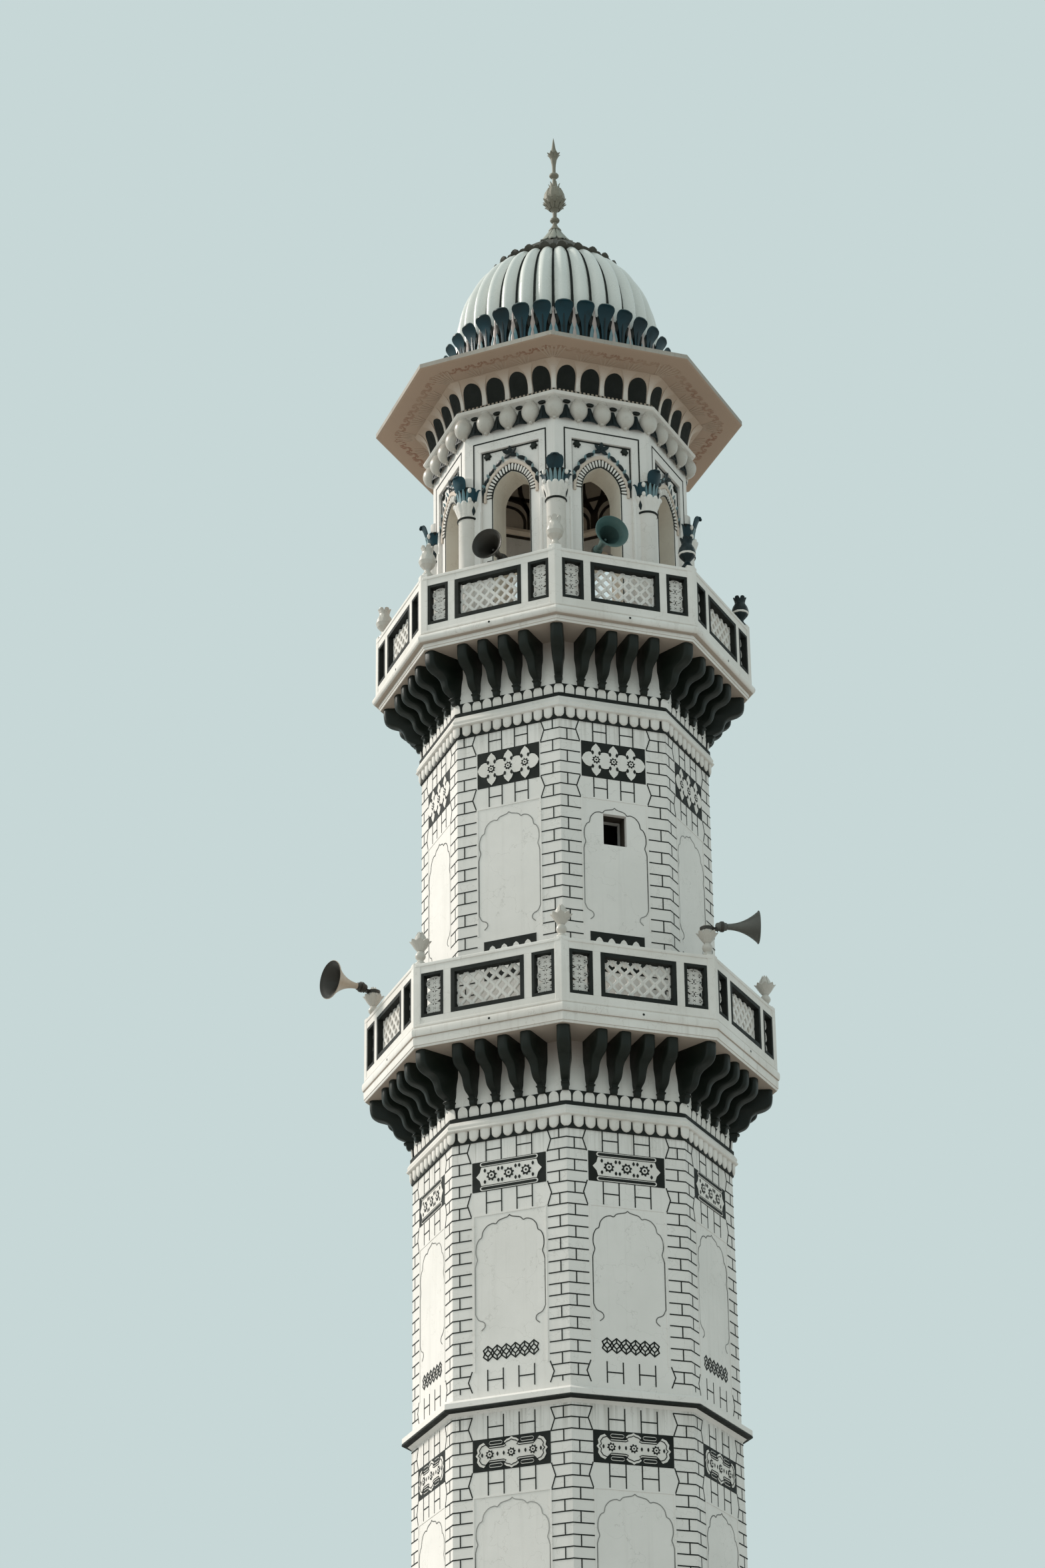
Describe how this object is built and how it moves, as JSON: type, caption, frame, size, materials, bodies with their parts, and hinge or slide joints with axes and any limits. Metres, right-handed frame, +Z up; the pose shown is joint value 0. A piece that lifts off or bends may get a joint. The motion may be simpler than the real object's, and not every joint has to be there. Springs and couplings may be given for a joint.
{
  "type": "minaret",
  "caption": "Tall octagonal plastered minaret with corbelled balconies, an arched lantern, a wide eave, a ribbed dome with a lotus cap and finial, and horn loudspeakers.",
  "frame": {"origin": "middle of the foot, on the ground", "axes": "+Z up along the tower's axis; the flat side with the window faces -Y"},
  "size_m": [6.0552, 5.6934, 35.71],
  "materials": {
    "plaster": "painted plaster, matt",
    "warm_plaster": "bare lime plaster",
    "dark_paint": "dark paint, satin",
    "teal_paint": "paint, satin",
    "finial_paint": "weathered paint",
    "horn_grey": "worn paint",
    "horn_teal": "worn paint"
  },
  "bodies": {
    "root": {"base_wall": "plaster", "cove": "warm_plaster", "dome": "plaster", "eave": "warm_plaster", "finial": "finial_paint", "horn_1": "horn_grey", "horn_2": "horn_teal", "horn_3": "horn_grey", "horn_4": "horn_grey", "lantern_cornice": "plaster", "lantern_wall_1": "plaster", "lantern_wall_2": "plaster", "lantern_wall_3": "plaster", "lantern_wall_4": "plaster", "lantern_wall_5": "plaster", "lantern_wall_6": "plaster", "lantern_wall_7": "plaster", "lantern_wall_8": "plaster", "leaf_ring": "teal_paint", "lotus_cap": "finial_paint", "lower_balcony_slab": "plaster", "lower_corbels": "dark_paint", "lower_cornice": "plaster", "lower_parapet_1": "plaster", "lower_parapet_2": "plaster", "lower_parapet_3": "plaster", "lower_parapet_4": "plaster", "lower_parapet_5": "plaster", "lower_parapet_6": "plaster", "lower_parapet_7": "plaster", "lower_parapet_8": "plaster", "lower_posts": "plaster", "middle_wall": "plaster", "plinth": "plaster", "string_course": "plaster", "upper_balcony_slab": "plaster", "upper_corbels": "dark_paint", "upper_cornice": "plaster", "upper_parapet_1": "plaster", "upper_parapet_2": "plaster", "upper_parapet_3": "plaster", "upper_parapet_4": "plaster", "upper_parapet_5": "plaster", "upper_parapet_6": "plaster", "upper_parapet_7": "plaster", "upper_parapet_8": "plaster", "upper_posts": "plaster", "upper_wall": "plaster"}
  },
  "joints": []
}
